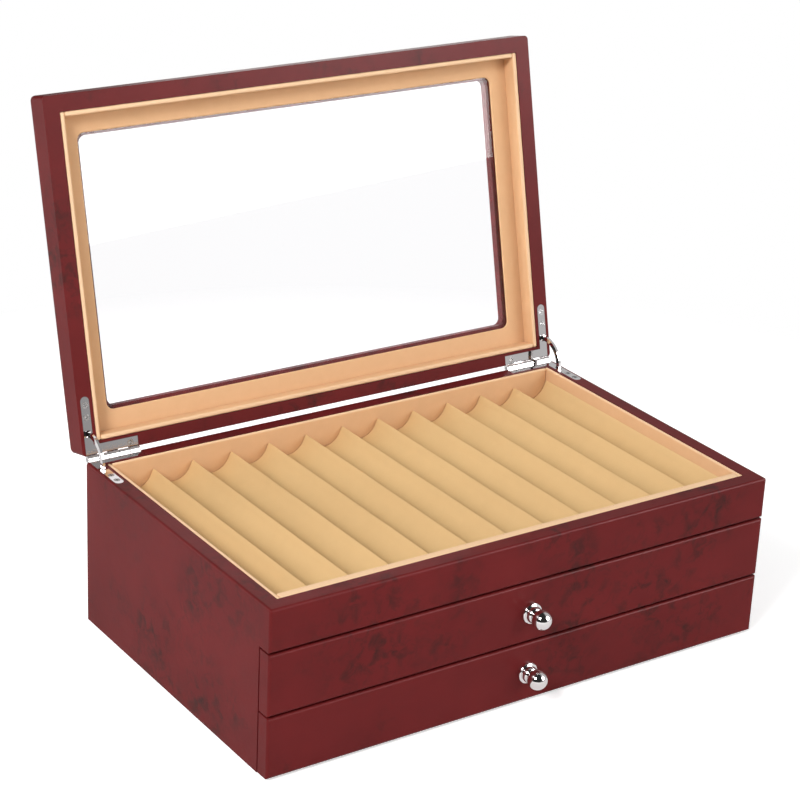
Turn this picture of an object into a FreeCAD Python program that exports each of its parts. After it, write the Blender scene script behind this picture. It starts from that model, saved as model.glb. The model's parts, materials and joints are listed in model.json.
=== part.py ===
import FreeCAD
import Part
import Sketcher
import os
import re

# Three-tier wooden pen case: a lined tray under a glazed lid on two stop hinges, over two drawers.
# Millimetres. +X is to the right of someone facing the drawers, +Y to the back, +Z up.
# The origin is on the table, under the middle of the case. The lid is drawn shut, then swung open.

doc = FreeCAD.newDocument("PenCase")
sheet = doc.addObject("Spreadsheet::Sheet", "Dims")

DIMENSIONS = [
    ("case_width", 345, "outside width of case and lid"),
    ("case_depth", 212, "outside depth of case and lid, drawer fronts included"),
    ("case_height", 104.4, "table to rim"),
    ("wall", 10, "sides, tray front and lid rails"),
    ("back_wall", 8, "back of the case and back rail of the lid"),
    ("shelf_board", 4, "bottom, shelf and tray floor"),
    ("felt_sheet", 1.2, "felt under the base"),
    ("felt_inset", 5, "felt edge inside the case's outline"),
    ("edge_round", 1.6, "rounded outer edges"),
    ("back_round", 2.6, "rounded back corners"),
    ("front_board", 9.5, "drawer front thickness"),
    ("shadow_gap", 1.2, "open line round the drawer fronts"),
    ("front_clear", 0.6, "drawer front to the boards behind it and to the felt below"),
    ("side_clear", 1.1, "drawer front to the side panels behind it"),
    ("lower_front_top", 39, "top of the lower drawer front"),
    ("upper_front_top", 77.4, "top of the upper drawer front"),
    ("lining", 2.6, "cloth-covered lining boards of the tray"),
    ("front_lining", 6, "front lining board of the tray"),
    ("slots", 12, "pen slots in each tray"),
    ("slot_depth", 12.2, "ridge to slot bottom"),
    ("ridge_flat", 0.8, "width of the ridge tops"),
    ("tray_skin", 6.8, "tray thickness under a slot"),
    ("tray_clear", 0.2, "tray to lining"),
    ("drawer_clear", 0.5, "drawer box to case"),
    ("drawer_board", 6, "drawer sides and back"),
    ("drawer_floor", 3, "drawer bottom"),
    ("drawer_lining", 2.5, "lining boards of a drawer"),
    ("drawer_back_gap", 1.5, "drawer box to the back panel"),
    ("lid_height", 20, "outside height of the lid"),
    ("lid_gap", 0.6, "rim to rim with the lid shut"),
    ("lid_panel", 7, "thickness of the window frame"),
    ("lid_round", 5, "rounded outer edge on top of the lid"),
    ("lid_open", 103, "angle at which the stop arms hold the lid"),
    ("lid_lining", 3, "lining boards of the lid"),
    ("mat_board", 2, "thickness of the window mat"),
    ("mat_width", 11.5, "mat seen inside the lid lining"),
    ("window_round", 4.6, "corner radius of the window"),
    ("window_reveal", 1.8, "window frame seen inside the mat"),
    ("glass_pane", 2, "glass thickness"),
    ("glass_lap", 4, "glass behind the frame, each side"),
    ("glass_clear", 0.3, "glass edge to its rebate"),
    ("hinge_offset", 1.8, "hinge axis behind the back of the case"),
    ("barrel_radius", 2.2, "outside of the hinge knuckles"),
    ("barrel_length", 34.5, "all the knuckles of one hinge"),
    ("knuckles", 5, "knuckles of one hinge"),
    ("knuckle_gap", 0.3, "play between knuckles"),
    ("pin_radius", 1.0, "hinge pin"),
    ("pin_clear", 0.05, "pin to knuckle"),
    ("leaf", 1.5, "hinge leaf thickness"),
    ("leaf_width", 5.6, "hinge leaf along the side"),
    ("leaf_reach", 37.5, "hinge axis to the tip of the leaf"),
    ("leaf_back", 6.2, "hinge leaf along the back"),
    ("leaf_fit", 0.1, "leaf to its mortise"),
    ("arm_radius", 15, "middle of the stop arm, from the hinge axis"),
    ("arm_width", 3, "stop arm, across the arc"),
    ("arm_thick", 1.5, "stop arm thickness"),
    ("arm_play", 0.4, "stop arm to the sides of its slot"),
    ("head_width", 5.3, "stop arm head, across the arc"),
    ("head_start", 9.5, "angle from leaf to stop arm head"),
    ("head_sweep", 5.5, "angle that a stop arm head covers"),
    ("screw_near", 25, "hinge axis to the first leaf screw"),
    ("screw_far", 32.5, "hinge axis to the second leaf screw"),
    ("screw_end", 5, "third leaf screw to the end of the hinge"),
    ("screw_head", 2, "leaf screw head radius"),
    ("screw_shank", 0.9, "leaf screw shank radius"),
    ("screw_reach", 7, "leaf screw length"),
    ("screw_fit", 0.05, "leaf screw to its hole"),
    ("cross_long", 2.2, "screwdriver cross"),
    ("cross_wide", 0.6, "screwdriver cross arm"),
    ("cross_deep", 0.5, "screwdriver cross depth"),
    ("knob_flange", 6.5, "knob flange radius"),
    ("knob_flange_thick", 2.6, "knob flange thickness"),
    ("knob_shoulder", 5.1, "knob radius where the shoulder starts"),
    ("knob_shoulder_long", 2.6, "length of the tapered shoulder"),
    ("knob_neck", 4.3, "knob neck radius"),
    ("knob_ball", 6.0, "knob ball radius"),
    ("knob_ball_out", 10.5, "drawer front to the middle of the ball"),
    ("knob_round", 1.1, "rounded flange edge"),
    ("bolt_radius", 1.5, "knob bolt"),
    ("bolt_clear", 0.2, "knob bolt to the drawer front"),
    ("bolt_thread", 6, "depth of the knob's bore"),
    ("bolt_end", 1, "knob bolt's end to the end of its bore"),
    ("bolt_head", 3, "knob bolt head radius"),
    ("bolt_head_thick", 2, "knob bolt head thickness"),
    ("bolt_sink", 2.4, "counterbore behind the drawer front"),
]

for row, (alias, size, note) in enumerate(DIMENSIONS, start=1):
    sheet.set(f"A{row}", note)
    sheet.set(f"B{row}", str(size))
    sheet.setAlias(f"B{row}", alias)
doc.recompute()
ALIASES = {alias for alias, size, note in DIMENSIONS}

# Places that several pieces share, as expressions of the driving dimensions.
LEFT = "-case_width / 2"
RIGHT = "case_width / 2"
FRONT = "-case_depth / 2"
BACK = "case_depth / 2"
INNER_LEFT = f"({LEFT} + wall)"
INNER_RIGHT = f"({RIGHT} - wall)"
INNER_FRONT = f"({FRONT} + wall)"
INNER_BACK = f"({BACK} - back_wall)"
CARCASS_FRONT = f"({FRONT} + front_board + front_clear)"
SIDE_FRONT = f"({FRONT} + front_board + side_clear)"
BASE_TOP = "(felt_sheet + shelf_board)"
TRAY_FLOOR = "(upper_front_top + shadow_gap)"
SHELF_TOP = "(lower_front_top + shadow_gap * 2)"
LID_LOW = "(case_height + lid_gap)"
RAIL_TOP = f"({LID_LOW} + lid_height - lid_panel)"
LID_TOP = f"({LID_LOW} + lid_height)"
MAT_LOW = f"({RAIL_TOP} - mat_board)"
AXIS_Y = f"({BACK} + hinge_offset)"
AXIS_Z = "(case_height + lid_gap / 2)"
LEAF_OUTER = f"({LEFT} + (wall - leaf_width) / 2)"
LEAF_INNER = f"({LEAF_OUTER} + leaf_width)"
LEAF_MIDDLE = f"({LEFT} + wall / 2)"
BARREL_END = f"({LEAF_OUTER} + barrel_length)"
KNUCKLE = "((barrel_length + knuckle_gap) / knuckles)"
WINDOW_X = f"({RIGHT} - wall - lid_lining - mat_width)"
WINDOW_FRONT = f"({INNER_FRONT} + lid_lining + mat_width)"
WINDOW_BACK = f"({INNER_BACK} - lid_lining - mat_width)"

finished = {}


def expression(text):
    """The text with every driving dimension pointed at its spreadsheet cell."""
    return re.sub(r"[a-z_]+", lambda word: "Dims." + word[0] if word[0] in ALIASES else word[0], text)


def value(text):
    """What an expression comes to, as a plain number."""
    return float(sheet.evalExpression(expression(text)))


def bind(item, name, text):
    item.setExpression(name, expression(text))


def finish(label, item):
    """Keeps an object as a sub-part of the case under its own label."""
    item.Label = label
    finished[label] = item
    return item


def swung_open(label, shut):
    """A lid piece that was drawn shut, turned about the hinge axis to the angle where it stops."""
    placed = doc.addObject("Part::Compound", label)
    placed.Links = [shut]
    axis = FreeCAD.Vector(0, value(AXIS_Y), value(AXIS_Z))
    turn = FreeCAD.Rotation(FreeCAD.Vector(1, 0, 0), -value("lid_open"))
    placed.Placement = FreeCAD.Placement(FreeCAD.Vector(0, 0, 0), turn, axis)
    return finish(label, placed)


def sketch_on(body, role, place):
    """An empty sketch on a plane of the body's origin, moved along the row's own axis to a place."""
    plane = next(f for f in body.Origin.OriginFeatures if f.Role == role)
    sketch = body.newObject("Sketcher::SketchObject", "Sketch")
    sketch.AttachmentSupport = (plane, [""])
    sketch.MapMode = "FlatFace"
    normal = "-1 * " if role == "XZ_Plane" else ""
    bind(sketch, "AttachmentOffset.Base.z", f"{normal}({place})")
    return sketch


def hold(sketch, geometry, point, across, up):
    """Fixes a point of a sketch at two expressions."""
    for kind, text in (("DistanceX", across), ("DistanceY", up)):
        number = sketch.addConstraint(Sketcher.Constraint(kind, -1, 1, geometry, point, value(text)))
        bind(sketch, f"Constraints[{number}]", text)


def outline(sketch, corners):
    """A closed outline of straight lines through the corners."""
    points = [FreeCAD.Vector(value(across), value(up), 0) for across, up in corners]
    count = len(points)
    for i in range(count):
        sketch.addGeometry(Part.LineSegment(points[i], points[(i + 1) % count]))
    for i in range(count):
        sketch.addConstraint(Sketcher.Constraint("Coincident", i, 2, (i + 1) % count, 1))
    for i, (across, up) in enumerate(corners):
        hold(sketch, i, 1, across, up)


def rectangle(sketch, across, up):
    outline(sketch, [(across[0], up[0]), (across[1], up[0]), (across[1], up[1]), (across[0], up[1])])


def grow(body, kind, sketch, length, backwards=False):
    """A Pad or Pocket of a sketch. A pocket has to take something away."""
    before = body.Tip.Shape.Volume if body.Tip else 0
    feature = body.newObject("PartDesign::" + kind, kind)
    feature.Profile = sketch
    bind(feature, "Length", length)
    feature.Reversed = backwards
    doc.recompute()
    if kind == "Pocket" and feature.Shape.Volume > before - 1:
        raise ValueError(f"{body.Label}: the pocket cuts nothing")
    return feature


def ends_at(**places):
    """A test for edges whose ends all lie at the given coordinates."""
    wanted = [("xyz".index(name), value(text)) for name, text in places.items()]

    def test(edge):
        return all(abs(v.Point[axis] - spot) < 0.001 for v in edge.Vertexes for axis, spot in wanted)

    return test


def round_edges(body, radius, *tests):
    """Rounds the edges of the body that pass any of the tests."""
    base = body.Tip
    edges = enumerate(base.Shape.Edges, start=1)
    names = [f"Edge{number}" for number, edge in edges if any(test(edge) for test in tests)]
    rounding = body.newObject("PartDesign::Fillet", "Fillet")
    rounding.Base = (base, names)
    bind(rounding, "Radius", radius)
    doc.recompute()


def board(label, x, y, z):
    """A flat board between two places on each axis."""
    body = doc.addObject("PartDesign::Body", label)
    sketch = sketch_on(body, "XY_Plane", z[0])
    rectangle(sketch, x, y)
    grow(body, "Pad", sketch, f"({z[1]}) - ({z[0]})")
    return body


def block(x, y, z):
    """A plain box to cut with or to join."""
    box = doc.addObject("Part::Box", "Block")
    for side, place, (low, high) in (("Length", "x", x), ("Width", "y", y), ("Height", "z", z)):
        bind(box, side, f"({high}) - ({low})")
        bind(box, f"Placement.Base.{place}", low)
    return box


TURNS = {
    "x": FreeCAD.Rotation(FreeCAD.Vector(0, 1, 0), 90),
    "y": FreeCAD.Rotation(FreeCAD.Vector(1, 0, 0), -90),
    "z": FreeCAD.Rotation(),
    "-y": FreeCAD.Rotation(FreeCAD.Vector(1, 0, 0), 90),
    "-z": FreeCAD.Rotation(FreeCAD.Vector(1, 0, 0), 180),
}


def aimed(item, start, way):
    """Puts a round primitive at its start, along one of the axes."""
    item.Placement.Rotation = TURNS[way]
    for name, text in zip("xyz", start):
        bind(item, f"Placement.Base.{name}", text)
    return item


def rod(start, way, radius, length):
    item = doc.addObject("Part::Cylinder", "Rod")
    bind(item, "Radius", radius)
    bind(item, "Height", length)
    return aimed(item, start, way)


def taper(start, way, first, last, length):
    item = doc.addObject("Part::Cone", "Taper")
    bind(item, "Radius1", first)
    bind(item, "Radius2", last)
    bind(item, "Height", length)
    return aimed(item, start, way)


def joined(*pieces):
    item = doc.addObject("Part::MultiFuse", "Joined")
    item.Shapes = list(pieces)
    item.Refine = True
    return item


def trimmed(base, *tools):
    """The base with every tool cut away."""
    item = doc.addObject("Part::Cut", "Trimmed")
    item.Base = base
    item.Tool = tools[0] if len(tools) == 1 else joined(*tools)
    return item


def mirrored(source):
    """The same piece on the other side of the case's middle plane."""
    item = doc.addObject("Part::Mirroring", "Mirrored")
    item.Source = source
    item.Base = FreeCAD.Vector(0, 0, 0)
    item.Normal = FreeCAD.Vector(1, 0, 0)
    return item


def grouped(label, pieces):
    item = doc.addObject("Part::Compound", label)
    item.Links = list(pieces)
    return item


# Hinges

def leaf_screw_spots():
    """Where the three screws of a left leaf stand, in plan."""
    return [
        (LEAF_MIDDLE, f"{AXIS_Y} - screw_near"),
        (LEAF_MIDDLE, f"{AXIS_Y} - screw_far"),
        (f"{BARREL_END} - screw_end", f"{BACK} - leaf_back / 2"),
    ]


def leaf_plate(low, high, spare="0"):
    """The L-shaped plate of a left leaf, with a round tip, larger by some spare room all round."""
    reach = f"{AXIS_Y} - leaf_reach"
    corner = f"{BACK} - leaf_back - ({spare})"
    tip = f"{reach} + leaf_width / 2"
    outer = f"{LEAF_OUTER} - ({spare})"
    long_leg = block((outer, f"{LEAF_INNER} + ({spare})"), (tip, AXIS_Y), (low, high))
    back_leg = block((outer, f"{BARREL_END} + ({spare})"), (corner, AXIS_Y), (low, high))
    nose = rod((LEAF_MIDDLE, tip, low), "z", f"leaf_width / 2 + ({spare})", f"({high}) - ({low})")
    return joined(long_leg, back_leg, nose)


def hinge_leaf(low, high, first_knuckle, way):
    """A left leaf: its plate with every second knuckle, the pin's bore, the arm's slot and three screw holes.
    The way is the one in which its screws point."""
    barrel = []
    clearings = []
    for number in range(int(value("knuckles"))):
        start = f"{LEAF_OUTER} + {number} * {KNUCKLE}"
        if number % 2 == first_knuckle:
            barrel.append(rod((start, AXIS_Y, AXIS_Z), "x", "barrel_radius", f"{KNUCKLE} - knuckle_gap"))
        else:
            span = (f"{start} - knuckle_gap", f"{start} + {KNUCKLE}")
            reach = (f"{AXIS_Y} - barrel_radius - knuckle_gap", f"{AXIS_Y} + barrel_radius")
            clearings.append(block(span, reach, (f"{low} - leaf", f"{high} + leaf")))
    bore_start = (f"{LEAF_OUTER} - leaf", AXIS_Y, AXIS_Z)
    bore = rod(bore_start, "x", "pin_radius + pin_clear", "barrel_length + leaf * 2")
    cuts = [bore, arm_slot(low, high), *clearings]
    face = high if way == "-z" else low
    for x, y in leaf_screw_spots():
        cuts.append(screw_shape((x, y, face), way, "screw_fit"))
    return trimmed(joined(leaf_plate(low, high), *barrel), *cuts)


def arm_slot(low, high):
    """The slot in a left leaf that the stop arm slides through."""
    half = "(arm_thick / 2 + arm_play)"
    across = (f"{LEAF_MIDDLE} - {half}", f"{LEAF_MIDDLE} + {half}")
    far = f"{AXIS_Y} - arm_radius - arm_width / 2 - arm_play * 1.5"
    near = f"{AXIS_Y} - arm_radius + arm_width / 2 + arm_play * 1.8"
    return block(across, (far, near), (low, high))


def arm_pocket(low, high):
    """The deep pocket in the wood that a stop arm slides into as the lid shuts."""
    half = "(arm_thick / 2 + arm_play)"
    across = (f"{LEAF_MIDDLE} - {half}", f"{LEAF_MIDDLE} + {half}")
    far = f"{AXIS_Y} - arm_radius - head_width / 2 - arm_play * 2"
    near = f"{AXIS_Y} - arm_radius / 3 + arm_play * 2"
    return block(across, (far, near), (low, high))


def screw_shape(head, way, spare="0"):
    """A countersunk screw that starts at its head, larger by some spare room."""
    drop = "leaf * 0.8"
    cone = taper(head, way, f"screw_head + {spare}", f"screw_shank + {spare}", drop)
    shank = rod(head, way, f"screw_shank + {spare}", f"screw_reach + {spare}")
    return joined(cone, shank)


def cross_recess(head, way):
    """The cross that a screwdriver turns, sunk into a head."""
    x, y, z = head
    depth = (f"{z} - cross_deep", z) if way == "-z" else (z, f"{z} + cross_deep")
    arms = []
    for long, wide in (("cross_long", "cross_wide"), ("cross_wide", "cross_long")):
        across = (f"{x} - {long} / 2", f"{x} + {long} / 2")
        along = (f"{y} - {wide} / 2", f"{y} + {wide} / 2")
        arms.append(block(across, along, depth))
    return joined(*arms)


def leaf_screws(face, way):
    """The three screws of a left leaf and the three of the right one."""
    screws = []
    for x, y in leaf_screw_spots():
        screw = trimmed(screw_shape((x, y, face), way), cross_recess((x, y, face), way))
        screws += [screw, mirrored(screw)]
    return screws


def ring_piece(inner, outer, start, sweep):
    """Part of a flat ring round the hinge axis. Angles run from the front over the top to the back."""
    cylinder = doc.addObject("Part::Cylinder", "RingPiece")
    bind(cylinder, "Radius", outer)
    bind(cylinder, "Height", "arm_thick")
    bind(cylinder, "Angle", sweep)
    turn = FreeCAD.Rotation(FreeCAD.Vector(1, 0, 0), -90 - value(f"{start} + {sweep}"))
    cylinder.Placement.Rotation = turn.multiply(TURNS["x"])
    place = (f"{LEAF_MIDDLE} - arm_thick / 2", AXIS_Y, AXIS_Z)
    for name, text in zip("xyz", place):
        bind(cylinder, f"Placement.Base.{name}", text)
    core = rod(place, "x", inner, "arm_thick")
    return trimmed(cylinder, core)


def stop_arm():
    """A curved arm with a wide head at each end, which the slots of the two leaves can't let through."""
    inner = "arm_radius - arm_width / 2"
    outer = "arm_radius + arm_width / 2"
    head_inner = "arm_radius - head_width / 2"
    head_outer = "arm_radius + head_width / 2"
    arc = ring_piece(inner, outer, "-1 * head_start", "lid_open + head_start * 2")
    case_head = ring_piece(head_inner, head_outer, "-1 * (head_start + head_sweep)", "head_sweep")
    lid_head = ring_piece(head_inner, head_outer, "lid_open + head_start", "head_sweep")
    return joined(arc, case_head, lid_head)


CASE_LEAF = ("case_height - leaf", "case_height")
LID_LEAF = (LID_LOW, f"{LID_LOW} + leaf")
POCKET_DEPTH = "(arm_radius + head_width / 2 - arm_play)"
case_mortise = joined(
    leaf_plate("case_height - leaf", "case_height + leaf", "leaf_fit"),
    arm_pocket(f"case_height - {POCKET_DEPTH}", "case_height"),
    *[screw_shape((x, y, "case_height"), "-z", "screw_fit") for x, y in leaf_screw_spots()],
)
lid_mortise = joined(
    leaf_plate(f"{LID_LOW} - leaf", f"{LID_LOW} + leaf", "leaf_fit"),
    arm_pocket(LID_LOW, f"{LID_LOW} + {POCKET_DEPTH}"),
    *[screw_shape((x, y, LID_LOW), "z", "screw_fit") for x, y in leaf_screw_spots()],
)

left_case_leaf = finish("left_hinge_case_leaf", hinge_leaf(*CASE_LEAF, 0, "-z"))
finish("right_hinge_case_leaf", mirrored(left_case_leaf))
left_lid_leaf = hinge_leaf(*LID_LEAF, 1, "z")
swung_open("left_hinge_lid_leaf", left_lid_leaf)
swung_open("right_hinge_lid_leaf", mirrored(left_lid_leaf))
left_pin = finish("left_hinge_pin", rod((LEAF_OUTER, AXIS_Y, AXIS_Z), "x", "pin_radius", "barrel_length"))
finish("right_hinge_pin", mirrored(left_pin))
left_arm = finish("left_stop_arm", stop_arm())
finish("right_stop_arm", mirrored(left_arm))
finish("case_hinge_screws", grouped("CaseScrews", leaf_screws("case_height", "-z")))
swung_open("lid_hinge_screws", grouped("LidScrews", leaf_screws(LID_LOW, "z")))


# Case

def side_panel():
    """The left side: full depth beside the tray, set back behind the drawer fronts below it."""
    body = doc.addObject("PartDesign::Body", "SideBlank")
    sketch = sketch_on(body, "YZ_Plane", LEFT)
    step = TRAY_FLOOR
    outline(sketch, [
        (SIDE_FRONT, "felt_sheet"),
        (BACK, "felt_sheet"),
        (BACK, "case_height"),
        (FRONT, "case_height"),
        (FRONT, step),
        (SIDE_FRONT, step),
    ])
    grow(body, "Pad", sketch, "wall")
    round_edges(body, "back_round", ends_at(x=LEFT, y=BACK))
    corner = ends_at(x=LEFT, y=FRONT)
    outer_top = ends_at(x=LEFT, z="case_height")
    front_edges = [ends_at(y=FRONT, z=place) for place in ("case_height", step)]
    round_edges(body, "edge_round", corner, outer_top, *front_edges)
    return trimmed(body, case_mortise)


left_side = finish("left_side_panel", side_panel())
finish("right_side_panel", mirrored(left_side))

back_blank = board("BackBlank", (INNER_LEFT, INNER_RIGHT), (INNER_BACK, BACK), ("felt_sheet", "case_height"))
finish("back_panel", trimmed(back_blank, case_mortise, mirrored(case_mortise)))

tray_front = board("TrayFront", (INNER_LEFT, INNER_RIGHT), (FRONT, INNER_FRONT), (TRAY_FLOOR, "case_height"))
round_edges(tray_front, "edge_round", *[ends_at(y=FRONT, z=place) for place in ("case_height", TRAY_FLOOR)])
finish("tray_front_panel", tray_front)

INSIDE = (INNER_LEFT, INNER_RIGHT)
LENGTHWISE = (CARCASS_FRONT, INNER_BACK)
floor_tall = (f"{TRAY_FLOOR} - shelf_board", TRAY_FLOOR)
finish("tray_floor_panel", board("TrayFloor", INSIDE, LENGTHWISE, floor_tall))
finish("drawer_shelf", board("Shelf", INSIDE, LENGTHWISE, (f"{SHELF_TOP} - shelf_board", SHELF_TOP)))
finish("bottom_panel", board("Bottom", INSIDE, LENGTHWISE, ("felt_sheet", BASE_TOP)))
felt_x = (f"{LEFT} + felt_inset", f"{RIGHT} - felt_inset")
felt_y = (f"{CARCASS_FRONT} + felt_inset", f"{BACK} - felt_inset")
base_felt = doc.addObject("PartDesign::Body", "Felt")
felt_sketch = sketch_on(base_felt, "XY_Plane", "felt_sheet")
rectangle(felt_sketch, felt_x, felt_y)
grow(base_felt, "Pad", felt_sketch, "felt_sheet", backwards=True)
finish("base_felt", base_felt)

LINED_LEFT = f"({INNER_LEFT} + lining)"
LINED_RIGHT = f"({INNER_RIGHT} - lining)"
LINED_FRONT = f"({INNER_FRONT} + front_lining)"
LINED_BACK = f"({INNER_BACK} - lining)"
TRAY_TALL = (TRAY_FLOOR, "case_height")
left_lining = board("LiningLeft", (INNER_LEFT, LINED_LEFT), (INNER_FRONT, INNER_BACK), TRAY_TALL)
finish("tray_lining_left", left_lining)
finish("tray_lining_right", mirrored(left_lining))
LINED = (LINED_LEFT, LINED_RIGHT)
finish("tray_lining_front", board("LiningFront", LINED, (INNER_FRONT, LINED_FRONT), TRAY_TALL))
finish("tray_lining_back", board("LiningBack", LINED, (LINED_BACK, INNER_BACK), TRAY_TALL))


# Pen trays

def pen_tray(label, half_width, near, far, floor):
    """A block with a row of round-bottomed slots that run from front to back."""
    body = doc.addObject("PartDesign::Body", label)
    base = sketch_on(body, "XZ_Plane", near)
    rectangle(base, (f"-1 * {half_width}", half_width), (floor, f"{floor} + tray_skin + slot_depth"))
    grow(body, "Pad", base, f"({far}) - ({near})", backwards=True)

    pitch = f"({half_width} * 2 / slots)"
    chord = f"(({pitch} - ridge_flat) / 2)"
    radius = f"(({chord} * {chord} + slot_depth * slot_depth) / (slot_depth * 2))"
    across = f"{pitch} / 2 - {half_width}"
    up = f"{floor} + tray_skin + {radius}"
    groove = sketch_on(body, "XZ_Plane", near)
    centre = FreeCAD.Vector(value(across), value(up), 0)
    groove.addGeometry(Part.Circle(centre, FreeCAD.Vector(0, 0, 1), value(radius)))
    hold(groove, 0, 3, across, up)
    number = groove.addConstraint(Sketcher.Constraint("Radius", 0, value(radius)))
    bind(groove, f"Constraints[{number}]", radius)
    slot = grow(body, "Pocket", groove, f"({far}) - ({near})")

    pattern = body.newObject("PartDesign::LinearPattern", "Slots")
    pattern.Originals = [slot]
    pattern.Direction = (next(f for f in body.Origin.OriginFeatures if f.Role == "X_Axis"), [""])
    bind(pattern, "Length", f"{pitch} * (slots - 1)")
    bind(pattern, "Occurrences", "slots")
    body.Tip = pattern
    doc.recompute()
    return body


tray_half = f"({LINED_RIGHT} - tray_clear)"
tray_near = f"({LINED_FRONT} + tray_clear)"
tray_far = f"({LINED_BACK} - tray_clear)"
finish("top_pen_tray", pen_tray("TopTray", tray_half, tray_near, tray_far, TRAY_FLOOR))


# Drawers

BOX_LEFT = f"({INNER_LEFT} + drawer_clear)"
BOX_RIGHT = f"({INNER_RIGHT} - drawer_clear)"
BOX_FRONT = f"({FRONT} + front_board)"
BOX_BACK = f"({INNER_BACK} - drawer_back_gap)"
WELL_LEFT = f"({BOX_LEFT} + drawer_board)"
WELL_RIGHT = f"({BOX_RIGHT} - drawer_board)"
WELL_BACK = f"({BOX_BACK} - drawer_board)"


def knob(height):
    """A turned knob: flange, tapered shoulder, neck and ball, bored for its bolt."""
    face = ("0", FRONT, height)
    flange = rod(face, "-y", "knob_flange", "knob_flange_thick")
    start = f"{FRONT} - knob_flange_thick"
    shoulder = taper(("0", start, height), "-y", "knob_shoulder", "knob_neck", "knob_shoulder_long")
    neck = rod(face, "-y", "knob_neck", "knob_ball_out")
    ball = doc.addObject("Part::Sphere", "Ball")
    bind(ball, "Radius", "knob_ball")
    aimed(ball, ("0", f"{FRONT} - knob_ball_out", height), "-y")
    whole = joined(flange, shoulder, neck, ball)
    doc.recompute()
    rounding = doc.addObject("Part::Fillet", "KnobRound")
    rounding.Base = whole
    rim = f"{FRONT} - knob_flange_thick"
    on_rim = ends_at(y=rim, z=f"{height} + knob_flange")
    on_other_half = ends_at(y=rim, x="knob_flange")
    edges = [
        number for number, edge in enumerate(whole.Shape.Edges, start=1)
        if not edge.Degenerated and (on_rim(edge) or on_other_half(edge))
    ]
    rounding.Edges = [(number, value("knob_round"), value("knob_round")) for number in edges]
    return trimmed(rounding, rod(face, "-y", "bolt_radius", "bolt_thread"))


def knob_bolt(height):
    """The bolt that holds a knob from behind the drawer front."""
    seat = f"{BOX_FRONT} - bolt_sink"
    head = rod(("0", seat, height), "y", "bolt_head", "bolt_head_thick")
    reach = "front_board - bolt_sink + bolt_thread - bolt_end"
    shank = rod(("0", seat, height), "-y", "bolt_radius - pin_clear", reach)
    crown = f"{seat} + bolt_head_thick"
    arms = []
    for long, wide in (("cross_long", "cross_wide"), ("cross_wide", "cross_long")):
        across = (f"-1 * {long} / 2", f"{long} / 2")
        up = (f"{height} - {wide} / 2", f"{height} + {wide} / 2")
        arms.append(block(across, (f"{crown} - cross_deep", crown), up))
    return trimmed(joined(head, shank), *arms)


def drawer(name, low, high, floor, top):
    """One drawer: its front, box, lining, pen tray, knob and bolt. The front covers more than the box."""
    middle = f"(({low} + {high}) / 2)"
    front = board(name + "Front", (LEFT, RIGHT), (FRONT, BOX_FRONT), (low, high))
    round_edges(front, "edge_round", ends_at(y=FRONT))
    hole = rod(("0", FRONT, middle), "y", "bolt_radius + bolt_clear", "front_board")
    sink = rod(("0", f"{BOX_FRONT} - bolt_sink", middle), "y", "bolt_head + bolt_clear", "bolt_sink")
    finish(f"{name}_front", trimmed(front, hole, sink))

    tall = (floor, top)
    side = board(name + "Side", (BOX_LEFT, WELL_LEFT), (BOX_FRONT, BOX_BACK), tall)
    finish(f"{name}_left_side", side)
    finish(f"{name}_right_side", mirrored(side))
    well = (WELL_LEFT, WELL_RIGHT)
    finish(f"{name}_back", board(name + "Back", well, (WELL_BACK, BOX_BACK), tall))
    deck = f"({floor} + drawer_floor)"
    finish(f"{name}_bottom", board(name + "Bottom", well, (BOX_FRONT, WELL_BACK), (floor, deck)))

    lined = (deck, top)
    lined_left = f"({WELL_LEFT} + drawer_lining)"
    lined_right = f"({WELL_RIGHT} - drawer_lining)"
    lined_front = f"({BOX_FRONT} + drawer_lining)"
    lined_back = f"({WELL_BACK} - drawer_lining)"
    left = board(name + "LiningLeft", (WELL_LEFT, lined_left), (BOX_FRONT, WELL_BACK), lined)
    near = board(name + "LiningFront", (lined_left, lined_right), (BOX_FRONT, lined_front), lined)
    far = board(name + "LiningBack", (lined_left, lined_right), (lined_back, WELL_BACK), lined)
    finish(f"{name}_lining", grouped(name + "Lining", [left, mirrored(left), near, far]))

    half = f"({lined_right} - tray_clear)"
    start = f"({lined_front} + tray_clear)"
    end = f"({lined_back} - tray_clear)"
    finish(f"{name}_pen_tray", pen_tray(name + "Tray", half, start, end, deck))
    finish(f"{name}_knob", knob(middle))
    finish(f"{name}_knob_bolt", knob_bolt(middle))


drawer(
    "lower_drawer",
    low="(felt_sheet + front_clear)",
    high="lower_front_top",
    floor=f"({BASE_TOP} + drawer_clear)",
    top=f"({SHELF_TOP} - shelf_board - drawer_clear)",
)
drawer(
    "upper_drawer",
    low="(lower_front_top + shadow_gap)",
    high="upper_front_top",
    floor=f"({SHELF_TOP} + drawer_clear)",
    top=f"({TRAY_FLOOR} - shelf_board - drawer_clear)",
)


# Lid

RAIL_TALL = (LID_LOW, RAIL_TOP)
rail_blank = board("RailBlank", (LEFT, INNER_LEFT), (FRONT, BACK), RAIL_TALL)
round_edges(rail_blank, "back_round", ends_at(x=LEFT, y=BACK), ends_at(x=LEFT, y=FRONT))
left_rail = trimmed(rail_blank, lid_mortise)
swung_open("lid_left_rail", left_rail)
swung_open("lid_right_rail", mirrored(left_rail))
swung_open("lid_front_rail", board("RailFront", INSIDE, (FRONT, INNER_FRONT), RAIL_TALL))
back_rail_blank = board("RailBack", INSIDE, (INNER_BACK, BACK), RAIL_TALL)
swung_open("lid_back_rail", trimmed(back_rail_blank, lid_mortise, mirrored(lid_mortise)))


def is_upright(edge):
    """True for a straight edge that runs from bottom to top."""
    ends = [v.Point for v in edge.Vertexes]
    return len(ends) == 2 and abs(ends[0].x - ends[1].x) + abs(ends[0].y - ends[1].y) < 0.001


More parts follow.
